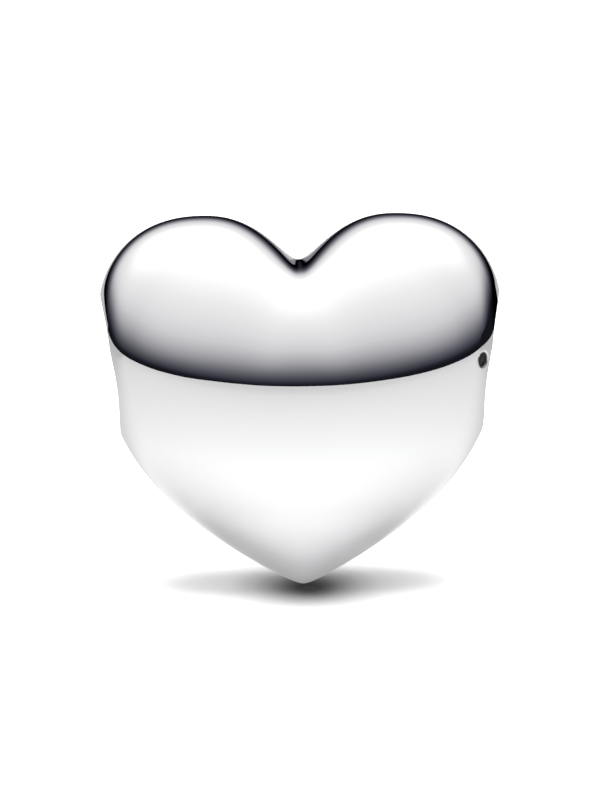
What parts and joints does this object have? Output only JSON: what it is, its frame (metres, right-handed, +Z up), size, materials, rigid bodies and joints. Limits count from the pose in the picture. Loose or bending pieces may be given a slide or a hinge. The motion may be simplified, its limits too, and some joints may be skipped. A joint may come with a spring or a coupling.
{
  "type": "heart bead charm",
  "caption": "Plump polished heart bead with a round hole from side to side, which slides onto a charm bracelet.",
  "frame": {"origin": "middle of the hole, on its axis, halfway between the two mouths", "axes": "+X along the hole towards the right-hand mouth, -Y towards the viewer of the front face, +Z up, from the tip to the notch"},
  "size_m": [0.0118, 0.0076, 0.011],
  "materials": {
    "silver": "mirror polish"
  },
  "bodies": {
    "root": {"charm_body": "silver"}
  },
  "joints": []
}
